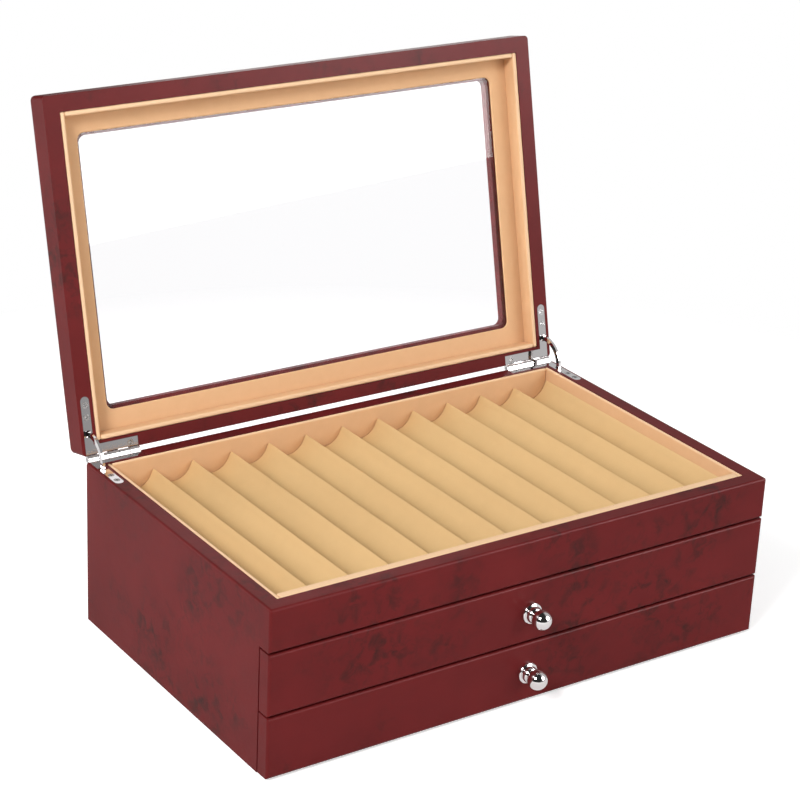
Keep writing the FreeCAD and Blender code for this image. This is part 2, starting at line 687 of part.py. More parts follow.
def inside_window(edge):
    spot = edge.CenterOfMass
    across = abs(spot.x) < value(WINDOW_X) + 0.001
    return across and value(WINDOW_FRONT) - 0.001 < spot.y < value(WINDOW_BACK) + 0.001


def window_outline(spare):
    """The window, larger by some spare room all round: its places across and along."""
    reach = f"({WINDOW_X} + {spare})"
    return (f"-1 * {reach}", reach), (f"{WINDOW_FRONT} - ({spare})", f"{WINDOW_BACK} + {spare}")


def cut_window(body, top, spare):
    """Cuts the window, with round corners, down through a board whose top is given."""
    opening = sketch_on(body, "XY_Plane", top)
    rectangle(opening, *window_outline(spare))
    grow(body, "Pocket", opening, "lid_height")
    round_edges(body, "window_round", lambda edge: is_upright(edge) and inside_window(edge))


def lid_frame():
    """The top of the lid: a rounded board with the window and, underneath, a rebate for the glass."""
    body = board("LidFrame", (LEFT, RIGHT), (FRONT, BACK), (RAIL_TOP, LID_TOP))
    round_edges(body, "back_round", is_upright)
    top = ends_at(z=LID_TOP)
    round_edges(body, "lid_round", top)
    cut_window(body, LID_TOP, "(-1 * window_reveal)")
    rebate = sketch_on(body, "XY_Plane", RAIL_TOP)
    rectangle(rebate, *window_outline("glass_lap"))
    grow(body, "Pocket", rebate, "glass_pane", backwards=True)
    pocket = arm_pocket(LID_LOW, f"{LID_LOW} + {POCKET_DEPTH}")
    return trimmed(body, pocket, mirrored(pocket))


swung_open("lid_window_frame", lid_frame())

pane_tall = (RAIL_TOP, f"{RAIL_TOP} + glass_pane")
pane = board("Pane", *window_outline("(glass_lap - glass_clear)"), pane_tall)
swung_open("lid_glass", pane)

mat = board("Mat", INSIDE, (INNER_FRONT, INNER_BACK), (MAT_LOW, RAIL_TOP))
cut_window(mat, RAIL_TOP, "0")
swung_open("lid_window_mat", mat)

LIP_TALL = (LID_LOW, MAT_LOW)
LIP_LEFT = f"({INNER_LEFT} + lid_lining)"
LIP_RIGHT = f"({INNER_RIGHT} - lid_lining)"
lip = board("LipLeft", (INNER_LEFT, LIP_LEFT), (INNER_FRONT, INNER_BACK), LIP_TALL)
swung_open("lid_lining_left", lip)
swung_open("lid_lining_right", mirrored(lip))
lip_front = board("LipFront", (LIP_LEFT, LIP_RIGHT), (INNER_FRONT, f"{INNER_FRONT} + lid_lining"), LIP_TALL)
swung_open("lid_lining_front", lip_front)
lip_back = board("LipBack", (LIP_LEFT, LIP_RIGHT), (f"{INNER_BACK} - lid_lining", INNER_BACK), LIP_TALL)
swung_open("lid_lining_back", lip_back)


# Checks and files

doc.recompute()
for item in doc.Objects:
    if "Invalid" in item.State or "Error" in item.State:
        raise ValueError(f"{item.Label} failed: {item.State}")
for label, item in finished.items():
    if item.Shape.isNull() or not item.Shape.isValid() or not item.Shape.Solids:
        raise ValueError(f"{label} has no sound solid")

os.makedirs("parts", exist_ok=True)
for label, item in finished.items():
    item.Shape.exportStep(os.path.join("parts", label + ".step"))
    print(f"{label}: {len(item.Shape.Solids)} solid(s), {item.Shape.Volume / 1000:.2f} cm3")
print(len(finished), "sub-parts")
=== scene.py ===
import json
import math

import bpy
import numpy as np
from mathutils import Matrix, Vector


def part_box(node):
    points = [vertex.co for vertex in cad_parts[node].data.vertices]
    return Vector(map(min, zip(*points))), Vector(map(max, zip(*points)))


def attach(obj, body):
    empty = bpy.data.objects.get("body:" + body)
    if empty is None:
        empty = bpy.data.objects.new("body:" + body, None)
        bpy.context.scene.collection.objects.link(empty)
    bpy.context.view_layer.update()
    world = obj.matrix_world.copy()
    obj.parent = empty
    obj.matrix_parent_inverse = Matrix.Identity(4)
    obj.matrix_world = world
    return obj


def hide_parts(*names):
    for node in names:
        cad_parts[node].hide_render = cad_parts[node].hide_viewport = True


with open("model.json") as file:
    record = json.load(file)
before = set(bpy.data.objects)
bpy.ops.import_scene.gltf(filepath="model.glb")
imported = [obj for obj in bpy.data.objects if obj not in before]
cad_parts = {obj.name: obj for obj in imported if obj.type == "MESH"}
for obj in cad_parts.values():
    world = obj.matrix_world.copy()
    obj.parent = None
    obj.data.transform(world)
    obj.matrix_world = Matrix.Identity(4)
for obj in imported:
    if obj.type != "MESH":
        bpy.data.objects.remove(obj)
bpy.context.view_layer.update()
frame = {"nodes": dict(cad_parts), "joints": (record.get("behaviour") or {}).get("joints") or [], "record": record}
scene = bpy.context.scene
scene.view_settings.view_transform = "Standard"
millimetre = 0.001
lidJoint = next(joint for joint in frame["joints"] if joint["name"] == "lid_hinge")
print("frame loaded:", len(frame["nodes"]), "nodes")


# shader helpers

def newNode(tree, kind, x, y, **values):
    node = tree.nodes.new(kind)
    node.location = (x, y)
    for name, value in values.items():
        setattr(node, name, value)
    return node


def setInputs(node, **values):
    for name, value in values.items():
        node.inputs[name.replace("_", " ")].default_value = value


def noise(tree, vector, scale, detail, roughness, x, y, distortion=0.0):
    node = newNode(tree, "ShaderNodeTexNoise", x, y)
    setInputs(node, Scale=scale, Detail=detail, Roughness=roughness, Distortion=distortion)
    tree.links.new(vector, node.inputs["Vector"])
    return node.outputs["Fac"]


def grey(level):
    return (level, level, level, 1.0)


def ramp(tree, value, edges, x, y):
    # black below the first edge, white above the second
    node = newNode(tree, "ShaderNodeValToRGB", x, y)
    for element, place, level in zip(node.color_ramp.elements, edges, (0, 1)):
        element.position = place
        element.color = grey(level)
    tree.links.new(value, node.inputs["Fac"])
    return node.outputs["Color"]


def maths(tree, operation, first, second, x, y, clamp=False):
    node = newNode(tree, "ShaderNodeMath", x, y, operation=operation, use_clamp=clamp)
    for socket, value in zip(node.inputs, (first, second)):
        if isinstance(value, (int, float)):
            socket.default_value = value
        else:
            tree.links.new(value, socket)
    return node.outputs["Value"]


def mixColour(tree, factor, first, second, x, y):
    node = newNode(tree, "ShaderNodeMix", x, y, data_type="RGBA")
    sockets = (node.inputs[0], node.inputs[6], node.inputs[7])  # factor and the two colours
    for socket, value in zip(sockets, (factor, first, second)):
        if isinstance(value, (int, float, tuple)):
            socket.default_value = value
        else:
            tree.links.new(value, socket)
    return node.outputs[2]


def newGroup(name, inputs, outputs):
    tree = bpy.data.node_groups.new(name, "ShaderNodeTree")
    for label, kind, value in inputs:
        kindName = "NodeSocket" + kind
        socket = tree.interface.new_socket(name=label, in_out="INPUT", socket_type=kindName)
        if value is not None:
            socket.default_value = value
    for label, kind in outputs:
        kindName = "NodeSocket" + kind
        tree.interface.new_socket(name=label, in_out="OUTPUT", socket_type=kindName)
    start = newNode(tree, "NodeGroupInput", -1200, 0)
    end = newNode(tree, "NodeGroupOutput", 900, 0)
    return tree, start.outputs, end.inputs


def placeGroup(tree, group, x, y, **values):
    node = newNode(tree, "ShaderNodeGroup", x, y, node_tree=group)
    for name, value in values.items():
        socket = node.inputs[name.replace("_", " ")]
        if isinstance(value, (int, float, tuple)):
            socket.default_value = value
        else:
            tree.links.new(value, socket)
    return node.outputs


# burl figure: a broad noise says where the smudges gather, a finer one breaks them into ragged spots,
# and a long thin noise gives the faint grain under the lacquer
burlLook = {
    "gather": 13.0,
    "gatherEdges": (0.48, 0.64),
    "spots": 120.0,
    "spotEdges": (0.46, 0.66),
    "spotDistortion": 0.5,
    "cloud": 24.0,
    "cloudEdges": (0.3, 0.75),
    "grain": (9.0, 60.0, 170.0),  # along, across and up
    "grainShare": 0.35,
    "grainHeight": 0.5,
    "orangePeel": 420.0,
    "gloss": 16.0,
}


def makeBurlGroup():
    look = burlLook
    tree, given, result = newGroup(
        "burlFigure",
        [("Vector", "Vector", None), ("Ground", "Color", grey(0.2)), ("Deep", "Color", grey(0.1)),
         ("Smudge", "Color", grey(0.05)), ("Amount", "Float", 1.0)],
        [("Colour", "Color"), ("Height", "Float"), ("Gloss", "Float")],
    )
    link = tree.links.new
    vector = given["Vector"]
    gather = noise(tree, vector, look["gather"], 3.0, 0.55, -900, 500)
    broad = ramp(tree, gather, look["gatherEdges"], -700, 500)
    spots = noise(tree, vector, look["spots"], 6.0, 0.62, -900, 250, distortion=look["spotDistortion"])
    ragged = ramp(tree, spots, look["spotEdges"], -700, 250)
    cloud = ramp(tree, noise(tree, vector, look["cloud"], 4.0, 0.6, -900, 0), look["cloudEdges"], -700, 0)
    stretch = newNode(tree, "ShaderNodeMapping", -1000, -300)
    stretch.inputs["Scale"].default_value = look["grain"]
    link(vector, stretch.inputs["Vector"])
    streak = noise(tree, stretch.outputs["Vector"], 1.0, 5.0, 0.6, -800, -300)
    base = mixColour(tree, cloud, given["Ground"], given["Deep"], -350, 200)
    grain = maths(tree, "MULTIPLY", streak, look["grainShare"], -600, -300)
    grained = mixColour(tree, grain, base, given["Deep"], -150, 100)
    mask = maths(tree, "MULTIPLY", broad, ragged, -450, 400)
    mask = maths(tree, "MULTIPLY", mask, given["Amount"], -250, 400, clamp=True)
    link(mixColour(tree, mask, grained, given["Smudge"], 100, 200), result["Colour"])
    peel = noise(tree, vector, look["orangePeel"], 2.0, 0.5, -800, -550)
    ridges = maths(tree, "MULTIPLY", streak, look["grainHeight"], -300, -450)
    link(maths(tree, "ADD", ridges, peel, -100, -450), result["Height"])
    link(noise(tree, vector, look["gloss"], 3.0, 0.6, -800, -800), result["Gloss"])
    return tree


# brushed pile: fine fibre noise, a mid-size nap that leans this way and that, and broad uneven shading; a painted
# highlight colour is laid over it by a mask
pileLook = {
    "broad": 14.0,
    "napEdges": (0.32, 0.72),
    "napShare": 0.16,
    "fibreShare": 0.35,
    "broadShare": 0.25,
    "napHeight": 0.5,
    "roughness": 0.95,
    "sheenRoughness": 0.45,
    "specular": 0.15,
}


def makePileGroup():
    look = pileLook
    tree, given, result = newGroup(
        "brushedPile",
        [("Vector", "Vector", None), ("Bright", "Color", grey(0.8)), ("Shade", "Color", grey(0.5)),
         # a painted highlight colour and the mask that lays it on, then the fibre and nap scales
         ("Crest", "Color", grey(0.9)), ("Crest Mask", "Float", 0.0), ("Fibre", "Float", 2200.0),
         ("Nap", "Float", 90.0)],
        [("Colour", "Color"), ("Height", "Float")],
    )
    link = tree.links.new
    vector = given["Vector"]
    fibreNode = newNode(tree, "ShaderNodeTexNoise", -800, 300)
    setInputs(fibreNode, Detail=2.0, Roughness=0.6)
    napNode = newNode(tree, "ShaderNodeTexNoise", -800, 0)
    setInputs(napNode, Detail=4.0, Roughness=0.55)
    for node, name in ((fibreNode, "Fibre"), (napNode, "Nap")):
        link(vector, node.inputs["Vector"])
        link(given[name], node.inputs["Scale"])
    broad = noise(tree, vector, look["broad"], 2.0, 0.5, -800, -300)
    nap = ramp(tree, napNode.outputs["Fac"], look["napEdges"], -550, 0)
    tone = maths(tree, "MULTIPLY", nap, look["napShare"], -300, 0)
    fibre = maths(tree, "MULTIPLY", fibreNode.outputs["Fac"], look["fibreShare"], -300, 250)
    uneven = maths(tree, "MULTIPLY", broad, look["broadShare"], -300, -250)
    tone = maths(tree, "ADD", tone, fibre, -100, 100)
    tone = maths(tree, "ADD", tone, uneven, 100, 100, clamp=True)
    cloth = mixColour(tree, tone, given["Bright"], given["Shade"], 300, 100)
    # painted highlight: the mask mixes the paler colour over the cloth
    link(mixColour(tree, given["Crest Mask"], cloth, given["Crest"], 500, 100), result["Colour"])
    height = maths(tree, "MULTIPLY", napNode.outputs["Fac"], look["napHeight"], 100, -250)
    link(maths(tree, "ADD", height, fibreNode.outputs["Fac"], 300, -250), result["Height"])
    return tree


# handling film: soft patches and hairlines that vary how sharply metal or glass reflects
filmLook = {
    "patches": 160.0,
    "patchEdges": (0.35, 0.75),
    "hairs": (300.0, 2600.0, 2600.0),  # along, across and up
}


def makeFilmGroup():
    look = filmLook
    tree, given, result = newGroup(
        "handlingFilm",
        [("Vector", "Vector", None), ("Clean", "Float", 0.05), ("Hazy", "Float", 0.15)],
        [("Roughness", "Float"), ("Height", "Float")],
    )
    link = tree.links.new
    vector = given["Vector"]
    patches = noise(tree, vector, look["patches"], 4.0, 0.6, -800, 200)
    brushed = newNode(tree, "ShaderNodeMapping", -1000, -150)
    brushed.inputs["Scale"].default_value = look["hairs"]
    link(vector, brushed.inputs["Vector"])
    hairs = noise(tree, brushed.outputs["Vector"], 1.0, 2.0, 0.5, -800, -150)
    span = newNode(tree, "ShaderNodeMapRange", -300, 200)
    link(patches, span.inputs["Value"])
    setInputs(span, From_Min=look["patchEdges"][0], From_Max=look["patchEdges"][1])
    link(given["Clean"], span.inputs["To Min"])
    link(given["Hazy"], span.inputs["To Max"])
    link(span.outputs["Result"], result["Roughness"])
    link(hairs, result["Height"])
    return tree


burlFigure = makeBurlGroup()
brushedPile = makePileGroup()
handlingFilm = makeFilmGroup()


def newMaterial(name):
    material = bpy.data.materials.new(name)
    material.use_nodes = True
    tree = material.node_tree
    shader = tree.nodes["Principled BSDF"]
    coordinates = newNode(tree, "ShaderNodeTexCoord", -900, 0).outputs["Object"]
    return material, tree, shader, coordinates


def addBump(tree, shader, height, strength, distance):
    bump = newNode(tree, "ShaderNodeBump", -250, -350)
    setInputs(bump, Strength=strength, Distance=distance)
    tree.links.new(height, bump.inputs["Height"])
    tree.links.new(bump.outputs["Normal"], shader.inputs["Normal"])


def makeLacquer(name, look):
    material, tree, shader, coordinates = newMaterial(name)
    burl = placeGroup(tree, burlFigure, -550, 100, Vector=coordinates, Ground=look["ground"],
                      Deep=look["deep"], Smudge=look["smudge"], Amount=look["smudgeAmount"])
    tree.links.new(burl["Colour"], shader.inputs["Base Color"])
    span = newNode(tree, "ShaderNodeMapRange", -300, 0)
    tree.links.new(burl["Gloss"], span.inputs["Value"])
    setInputs(span, To_Min=look["roughness"][0], To_Max=look["roughness"][1])
    tree.links.new(span.outputs["Result"], shader.inputs["Roughness"])
    addBump(tree, shader, burl["Height"], look["bump"], look["bumpDepth"])
    setInputs(shader, Coat_Weight=look["coat"], Coat_Roughness=look["coatRoughness"],
              Specular_IOR_Level=look["specular"])
    return material


def makePile(name, look):
    material, tree, shader, coordinates = newMaterial(name)
    # per-vertex mask of painted highlight at ridges and rims, and of painted light on the tray flanks
    paintedLight = newNode(tree, "ShaderNodeAttribute", -900, -250, attribute_name="paintedLight").outputs["Fac"]
    pile = placeGroup(tree, brushedPile, -550, 100, Vector=coordinates, Bright=look["bright"],
                      Shade=look["shade"], Crest=look["paintedLight"], Crest_Mask=paintedLight, Fibre=look["fibre"],
                      Nap=look["nap"])
    tree.links.new(pile["Colour"], shader.inputs["Base Color"])
    addBump(tree, shader, pile["Height"], look["bump"], look["bumpDepth"])
    setInputs(shader, Roughness=pileLook["roughness"], Sheen_Weight=look["sheen"],
              Sheen_Roughness=pileLook["sheenRoughness"], Specular_IOR_Level=pileLook["specular"])
    shader.inputs["Sheen Tint"].default_value = look["bright"]
    return material


def makeMetal(name, look):
    material, tree, shader, coordinates = newMaterial(name)
    film = placeGroup(tree, handlingFilm, -550, 100, Vector=coordinates,
                      Clean=look["clean"], Hazy=look["hazy"])
    tree.links.new(film["Roughness"], shader.inputs["Roughness"])
    addBump(tree, shader, film["Height"], look["bump"], look["bumpDepth"])
    shader.inputs["Base Color"].default_value = look["colour"]
    shader.inputs["Metallic"].default_value = 1.0
    return material


def makeGlass(name, look):
    material, tree, shader, coordinates = newMaterial(name)
    film = placeGroup(tree, handlingFilm, -550, 100, Vector=coordinates,
                      Clean=look["clean"], Hazy=look["hazy"])
    tree.links.new(film["Roughness"], shader.inputs["Roughness"])
    shader.inputs["Base Color"].default_value = look["colour"]
    setInputs(shader, Transmission_Weight=1.0, IOR=look["ior"])
    clear = newNode(tree, "ShaderNodeBsdfTransparent", 300, -200)
    clear.inputs["Color"].default_value = look["shadow"]
    path = newNode(tree, "ShaderNodeLightPath", 100, 300)
    mix = newNode(tree, "ShaderNodeMixShader", 550, 0)
    output = tree.nodes["Material Output"]
    tree.links.new(path.outputs["Is Shadow Ray"], mix.inputs["Fac"])
    tree.links.new(shader.outputs["BSDF"], mix.inputs[1])
    tree.links.new(clear.outputs["BSDF"], mix.inputs[2])
    tree.links.new(mix.outputs["Shader"], output.inputs["Surface"])
    return material


finishes = {
    "lacquered_wood": makeLacquer("burgundyLacquer", {
        "ground": (0.140, 0.0125, 0.0130, 1.0),
        "deep": (0.100, 0.0100, 0.0105, 1.0),
        "smudge": (0.022, 0.011, 0.009, 1.0),
        "smudgeAmount": 0.75,
        "roughness": (0.36, 0.48),
        "bump": 0.08,
        "bumpDepth": 0.0004,
        "specular": 0.07,
        "coat": 0.04,
        "coatRoughness": 0.2,
    }),
    "inner_wood": makeLacquer("innerStain", {
        "ground": (0.13, 0.02, 0.02, 1.0),
        "deep": (0.085, 0.015, 0.014, 1.0),
        "smudge": (0.05, 0.015, 0.013, 1.0),
        "smudgeAmount": 0.4,
        "roughness": (0.5, 0.7),
        "bump": 0.2,
        "bumpDepth": 0.0005,
        "specular": 0.25,
        "coat": 0.0,
        "coatRoughness": 0.4,
    }),
    "velvet": makePile("strawVelvet", {
        "bright": (0.58, 0.385, 0.175, 1.0),
        "shade": (0.43, 0.27, 0.115, 1.0),
        # painted highlight colour
        "paintedLight": (0.81, 0.57, 0.30, 1.0),
        "fibre": 2400.0,
        "nap": 110.0,
        "bump": 0.25,
        "bumpDepth": 0.0004,
        "sheen": 0.25,
    }),
    "suede": makePile("peachSuede", {
        "bright": (0.72, 0.445, 0.25, 1.0),
        "shade": (0.60, 0.345, 0.175, 1.0),
        # painted highlight colour
        "paintedLight": (0.79, 0.535, 0.33, 1.0),
        "fibre": 2800.0,
        "nap": 160.0,
        "bump": 0.2,
        "bumpDepth": 0.0003,
        "sheen": 0.2,
    }),
    "felt": makePile("baseFelt", {
        "bright": (0.035, 0.022, 0.02, 1.0),
        "shade": (0.015, 0.01, 0.01, 1.0),
        # painted highlight colour
        "paintedLight": (0.05, 0.035, 0.03, 1.0),
        "fibre": 1500.0,
        "nap": 200.0,
        "bump": 0.5,
        "bumpDepth": 0.0006,
        "sheen": 0.1,
    }),
    "chrome": makeMetal("brightChrome", {
        "colour": (0.80, 0.77, 0.77, 1.0),
        "clean": 0.02,
        "hazy": 0.07,
        "bump": 0.05,
        "bumpDepth": 0.0001,
    }),
    "steel": makeMetal("screwSteel", {
        "colour": (0.44, 0.43, 0.43, 1.0),
        "clean": 0.18,
        "hazy": 0.32,
        "bump": 0.05,
        "bumpDepth": 0.0001,
    }),
    "glass": makeGlass("clearPane", {
        "colour": (0.995, 0.99, 1.0, 1.0),
        "shadow": (0.96, 0.97, 0.965, 1.0),
        "clean": 0.0,
        "hazy": 0.02,
        "ior": 1.46,
    }),
}
slotOfNode = {part["node"]: part["material_slot"] for part in frame["record"]["subparts"]}
for node, thing in frame["nodes"].items():
    for place in thing.material_slots:
        place.material = finishes[slotOfNode[node]]
print("finishes:", len(finishes))


# mesh helpers

def addPiece(name, points, slot, body, replaced, closedLength=False, paintedLight=None):
    # points[row, column] is a tube: columns run round it and close, rows run along it;
    # the tube's ends are capped, or joined to each other
    rows, columns = points.shape[:2]
    index = np.arange(rows * columns).reshape(rows, columns)
    ahead = np.roll(index, -1, axis=1)
    rowPairs = (index, np.roll(index, -1, axis=0)) if closedLength else (index[:-1], index[1:])
    aheadPairs = (ahead, np.roll(ahead, -1, axis=0)) if closedLength else (ahead[:-1], ahead[1:])
    quads = np.stack([rowPairs[0], aheadPairs[0], aheadPairs[1], rowPairs[1]], axis=-1).reshape(-1, 4)
    faces = quads.tolist()
    if not closedLength:
        faces += [index[0, ::-1].tolist(), index[-1].tolist()]
    mesh = bpy.data.meshes.new(name)
    mesh.from_pydata(points.reshape(-1, 3).tolist(), [], faces)
    mesh.validate()
    mesh.shade_smooth()
    mesh.materials.append(finishes[slot])
    # a per-vertex mask of painted light, read by the pile finishes
    if paintedLight is not None:
        values = mesh.attributes.new("paintedLight", "FLOAT", "POINT").data
        values.foreach_set("value", paintedLight.ravel().astype(np.float32))
    piece = bpy.data.objects.new(name, mesh)
    scene.collection.objects.link(piece)
    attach(piece, body)
    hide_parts(replaced)
    return piece


def sharpen(piece, degrees):
    piece.data.set_sharp_from_angle(angle=math.radians(degrees))


def lidTurn(points, degrees):
    # turns points about the hinge axis
    centre = np.array(lidJoint["pos_m"])
    turn = np.array(Matrix.Rotation(math.radians(degrees), 3, "X"))
    return (points - centre) @ turn.T + centre


lidSwing = lidJoint["range_deg"][1]


def nodePoints(node):
    data = frame["nodes"][node].data
    points = np.empty(len(data.vertices) * 3)
    data.vertices.foreach_get("co", points)
    return points.reshape(-1, 3)


def shutBox(node, body):
    # a node's corners with the lid shut, so that a lid piece lies square to the axes
    points = nodePoints(node)
    if body == "lid":
        points = lidTurn(points, lidSwing)
    return points.min(axis=0), points.max(axis=0)


def settle(points, body):
    return lidTurn(points, -lidSwing) if body == "lid" else points


def roundedLoop(halfWidth, halfHeight, radius, steps):
    # a rectangle with quarter circles at its corners, anticlockwise, as (steps * 4, 2)
    turn = np.linspace(0, math.pi / 2, steps)
    corners = []
    for quarter, (signX, signY) in enumerate(((1, 1), (-1, 1), (-1, -1), (1, -1))):
        angle = turn + quarter * math.pi / 2
        centre = np.array([signX * (halfWidth - radius), signY * (halfHeight - radius)])
        corners.append(centre + radius * np.stack([np.cos(angle), np.sin(angle)], axis=-1))
    return np.concatenate(corners)


# cloth-covered boards: a rounded rectangle carried along the board, drawn in at both ends by a quarter circle
boardLook = {
    "round": 1.1 * millimetre,
    "roundShare": 0.45,  # the most of a board's thickness that the round may take
    "cornerSteps": 6,
    "endSteps": 6,
    "ripple": 0.10 * millimetre,  # unevenness of the cloth
    "ripplePitch": 31 * millimetre,
    "rippleShift": 0.6,  # radians
    "step": 5 * millimetre,
    # width of the painted highlight along a board's showing edge
    "paintedLightWidth": 1.0 * millimetre,
    "sharpAbove": 50,  # degrees
}


def boardPoints(low, high):
    size = high - low
    order = np.argsort(-size)  # length, then width, then thickness
    length, width, thick = size[order]
    radius = min(boardLook["round"], thick * boardLook["roundShare"])
    turn = np.linspace(0, math.pi / 2, boardLook["endSteps"])
    rise = radius * (1 - np.cos(turn))
    drawIn = radius * (1 - np.sin(turn))
    middle = np.linspace(radius, length - radius, max(3, int(length / boardLook["step"])))
    along = np.concatenate([rise, middle[1:-1], (length - rise)[::-1]])
    inset = np.concatenate([drawIn, np.zeros(len(middle) - 2), drawIn[::-1]])
    loop = roundedLoop(width / 2, thick / 2, radius, boardLook["cornerSteps"])
    shrink = 1 - inset[:, None, None] / np.array([width / 2, thick / 2])
    section = loop[None] * shrink
    wave = np.sin(along * 2 * math.pi / boardLook["ripplePitch"])[:, None]
    wave = wave * np.sin(loop[None, :, 0] * math.pi / width + boardLook["rippleShift"])
    section[..., 1] -= np.sign(loop[None, :, 1]) * boardLook["ripple"] * (0.5 + 0.5 * wave)
    points = np.empty((len(along), len(loop), 3))
    points[..., order[0]] = along[:, None] - length / 2
    points[..., order[1]] = section[..., 0]
    points[..., order[2]] = section[..., 1]
    if np.linalg.det(np.eye(3)[order[[1, 2, 0]]]) < 0:
        points = points[:, ::-1]  # keeps the faces pointing out
    return points + (low + high) / 2


def boardCrest(points, level, width):
    # painted highlight: 1 on the edge that shows at the rim, fading to 0 within a width of it
    return np.clip(1 - np.abs(points[..., 2] - level) / width, 0, 1)


def addBoard(node, slot, body):
    low, high = shutBox(node, body)
    points = boardPoints(low, high)
    rim = low[2] if body == "lid" else high[2]
    # painted highlight along the edge that shows at the rim
    paintedLight = boardCrest(points, rim, boardLook["paintedLightWidth"])
    piece = addPiece(node + "_cloth", settle(points, body), slot, body, node, paintedLight=paintedLight)
    sharpen(piece, boardLook["sharpAbove"])


for side in ("left", "right", "front", "back"):
    addBoard("tray_lining_" + side, "suede", "case")
    addBoard("lid_lining_" + side, "suede", "lid")
addBoard("base_felt", "felt", "case")
print("lining boards done")


# a drawer's four lining boards are one node, so each is found from the box of the whole
# and the thickness of a board
drawerLining = {"thick": 2.5 * millimetre}


def addDrawerLining(drawer):
    low, high = (np.array(corner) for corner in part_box(drawer + "_lining"))
    thick = drawerLining["thick"]
    boards = []
    for axis in (0, 1):
        for atHigh in (False, True):
            a, b = low.copy(), high.copy()
            if atHigh:
                a[axis] = high[axis] - thick
            else:
                b[axis] = low[axis] + thick
            if axis == 1:
                a[0] += thick
                b[0] -= thick
            boards.append((a, b))
    for number, (a, b) in enumerate(boards, start=1):
        name = f"{drawer}_lining_cloth_{number}"
        points = boardPoints(a, b)
        # painted highlight along the edge that shows at the rim
        paintedLight = boardCrest(points, high[2], boardLook["paintedLightWidth"])
        piece = addPiece(name, points, "suede", drawer, drawer + "_lining", paintedLight=paintedLight)
        sharpen(piece, boardLook["sharpAbove"])


# pen trays: across the tray the height follows a row of circular slots, softened at the ridges by a small
# average; along the tray it sinks in a quarter circle at both ends and wavers a little
trayLook = {
    "slots": 12,
    "samplesPerSlot": 36,
    "slotDepth": 12.2 * millimetre,
    "ridgeFlat": 0.8 * millimetre,
    "ridgeSoft": 0.55 * millimetre,
    "endRound": 1.3 * millimetre,
    "endSteps": 6,
    "rows": 46,
    "waver": 0.18 * millimetre,
    "waverTurns": ((47, 90), (101, -61)),  # along and across, radians per metre
    "softSteps": 8,
    # width of the painted highlight along the ridge tops
    "paintedLightWidth": 2.0 * millimetre,
    "paintedFlankLight": 0.42,  # painted light: how much paler each slot is painted towards its right ridge, on the flank that faces the key lamp
    "sharpAbove": 60,  # degrees
}


def trayPoints(low, high):
    look = trayLook
    width = high[0] - low[0]
    pitch = width / look["slots"]
    across = np.linspace(0, width, look["slots"] * look["samplesPerSlot"] + 1)
    chord = (pitch - look["ridgeFlat"]) / 2
    radius = (chord ** 2 + look["slotDepth"] ** 2) / (2 * look["slotDepth"])
    offset = np.minimum(np.abs(across % pitch - pitch / 2), chord)
    height = radius - np.sqrt(radius ** 2 - offset ** 2) - look["slotDepth"]
    steps = look["softSteps"]
    spread = np.arange(-steps, steps + 1) * (across[1] - across[0])
    weight = np.exp(-0.5 * (spread / look["ridgeSoft"]) ** 2)
    extended = np.pad(height, steps, mode="reflect")
    height = np.convolve(extended, weight / weight.sum(), mode="valid")
    turn = np.linspace(0, math.pi / 2, look["endSteps"])
    edge = look["endRound"]
    length = high[1] - low[1]
    middle = np.linspace(edge, length - edge, look["rows"])
    reach = edge * (1 - np.cos(turn))
    along = np.concatenate([reach, middle[1:-1], length - reach[::-1]])
    sink = edge * (1 - np.sin(turn))
    drop = np.concatenate([sink, np.zeros(len(middle) - 2), sink[::-1]])
    waver = sum(np.sin(along[:, None] * a + across[None] * b) for a, b in look["waverTurns"])
    # the sines add up to between -2 and 2, so the waver runs from none to its full depth
    topZ = high[2] + height[None] - drop[:, None] - look["waver"] * (0.5 + 0.25 * waver)
    rows, columns = topZ.shape
    top = np.stack([np.broadcast_to(low[0] + across, (rows, columns)),
                    np.broadcast_to((low[1] + along)[:, None], (rows, columns)), topZ], axis=-1)
    under = top[:, [-1, 0]].copy()
    under[..., 2] = low[2]
    return np.concatenate([top, under], axis=1)


def addTray(node, body):
    low, high = (np.array(corner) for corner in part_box(node))
    points = trayPoints(low, high)
    pitch = (high[0] - low[0]) / trayLook["slots"]
    # painted light: each slot is painted paler towards its right ridge, on the flank that faces the key lamp
    paintedFlankLight = (points[..., 0] - low[0]) % pitch / pitch  # 0 at a slot's left ridge, 1 at its right ridge
    # painted highlight on the ridge tops, combined with the painted flank light
    paintedLight = np.maximum(boardCrest(points, high[2], trayLook["paintedLightWidth"]), trayLook["paintedFlankLight"] * paintedFlankLight)
    piece = addPiece(node + "_velvet", points, "velvet", body, node, paintedLight=paintedLight)
    sharpen(piece, trayLook["sharpAbove"])


addTray("top_pen_tray", "case")
for drawer in ("upper_drawer", "lower_drawer"):
    addDrawerLining(drawer)
    addTray(drawer + "_pen_tray", drawer)
print("pen trays done")


# window mat: a ring whose section is a flat strip with a rounded nose at the window, carried round
# a rounded rectangle at the window and a sharp one at the rails
matLook = {
    "cornerRadius": 4.6 * millimetre,
    "cornerSteps": 12,
    "nose": 1.0 * millimetre,
    "noseSteps": 7,
    "width": 14.5 * millimetre,  # rails to window
    "slack": 1e-9,  # for rounding errors
    "sharpAbove": 40,  # degrees
}


